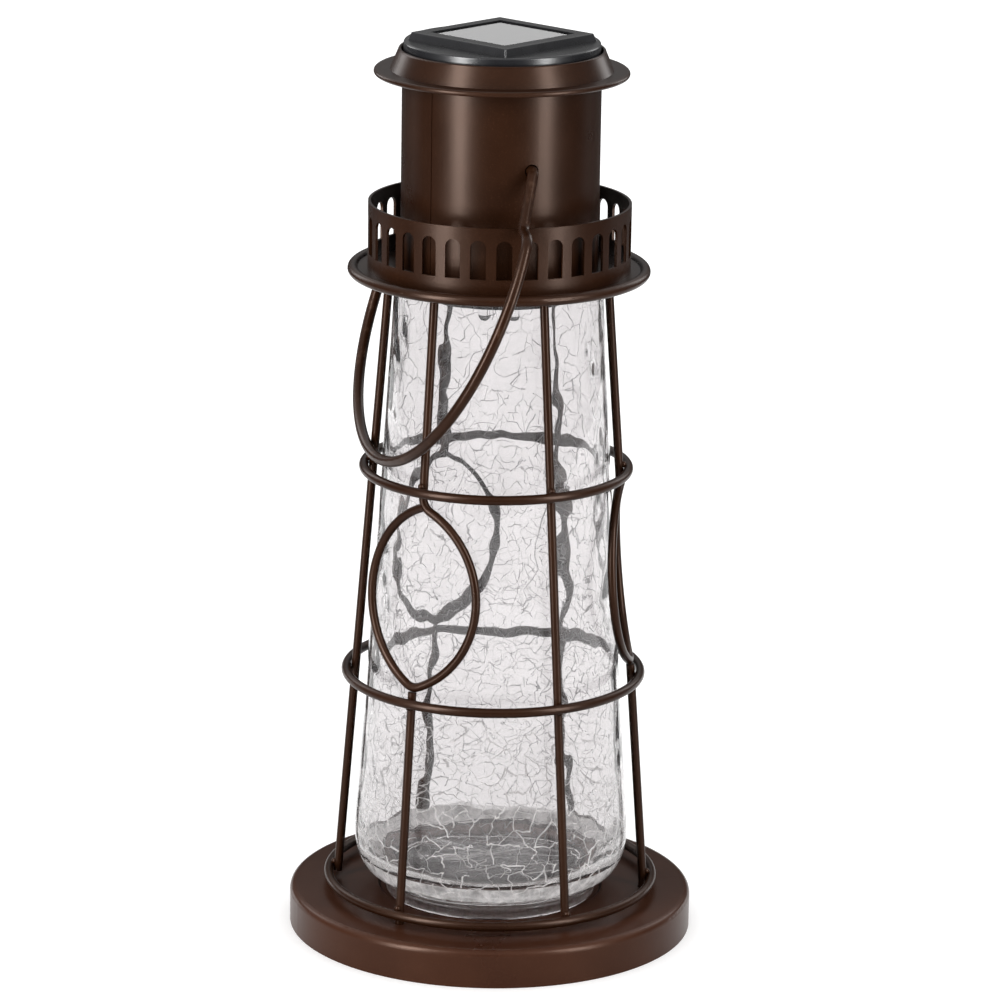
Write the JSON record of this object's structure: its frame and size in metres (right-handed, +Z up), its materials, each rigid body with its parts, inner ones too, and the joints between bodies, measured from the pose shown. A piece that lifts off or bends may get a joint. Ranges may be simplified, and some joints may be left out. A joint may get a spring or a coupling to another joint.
{
  "type": "solar garden light",
  "caption": "Tower-shaped solar lantern: crackle glass jar in a wire cage on a round base, with a pierced gallery, a swinging wire handle and a lift-out solar lamp.",
  "frame": {"origin": "centre of the round base on the ground", "axes": "+Z up; the handle's pivot axis is parallel to Y, and the handle rests towards -X"},
  "size_m": [0.15, 0.15, 0.3368],
  "materials": {
    "bronze_paint": "satin brown bronze paint with a fine metallic fleck",
    "handle_paint": "satin brown bronze paint, slightly worn",
    "fastener_steel": "zinc-plated",
    "crackle_glass": "clear with a fine network of internal cracks",
    "black_plastic": "fine satin moulded texture",
    "board": "solder-mask satin",
    "cell": "polished silicon with fine grid lines",
    "clear_resin": "clear and glossy",
    "gasket_rubber": "matt",
    "contact_metal": "nickel-plated",
    "wire_cover": "satin insulation",
    "components": "semi-gloss",
    "battery_jacket": "printed shrink sleeve without lettering",
    "switch_plastic": "satin"
  },
  "bodies": {
    "lantern": {"base_pan": "bronze_paint", "foot_washers": "fastener_steel", "foot_nuts": "fastener_steel", "base_ring": "bronze_paint", "lower_ring": "bronze_paint", "upper_ring": "bronze_paint", "plain_upright_1": "bronze_paint", "plain_upright_2": "bronze_paint", "plain_upright_3": "bronze_paint", "window_upright_1": "bronze_paint", "window_upright_2": "bronze_paint", "window_upright_3": "bronze_paint", "lower_upright_1": "bronze_paint", "lower_upright_2": "bronze_paint", "lower_upright_3": "bronze_paint", "weld_beads": "bronze_paint", "glass_jar": "crackle_glass", "gallery_plate": "bronze_paint", "gallery_railing": "bronze_paint", "lamp_housing": "bronze_paint", "roof_ring": "bronze_paint"},
    "handle": {"handle": "handle_paint"},
    "solar_unit": {"solar_cap": "black_plastic", "cell_board": "board", "solar_cell": "cell", "cell_window": "clear_resin", "cap_gasket": "gasket_rubber", "cap_screws": "fastener_steel", "module_can": "black_plastic", "module_base": "black_plastic", "base_screws": "fastener_steel", "leds": "clear_resin", "led_leads": "contact_metal", "led_board": "board", "led_wires": "wire_cover", "circuit_board": "board", "board_parts": "components", "cell_leads": "wire_cover", "battery": "battery_jacket", "battery_cradle": "black_plastic", "battery_contacts": "contact_metal", "switch_body": "switch_plastic"},
    "power_switch": {"switch_knob": "switch_plastic"}
  },
  "joints": [
    {"name": "handle_swing", "type": "hinge", "parent": "lantern", "child": "handle", "pos_m": [0, 0, 0.2933], "axis": [0, 1, 0], "range_deg": [0, 314.4]},
    {"name": "solar_unit_lift", "type": "slide", "parent": "lantern", "child": "solar_unit", "axis": [0, 0, 1], "range_m": [0, 0.115]},
    {"name": "switch_slide", "type": "slide", "parent": "solar_unit", "child": "power_switch", "axis": [0.9613, -0.2756, 0], "range_m": [0, 0.0025]}
  ]
}
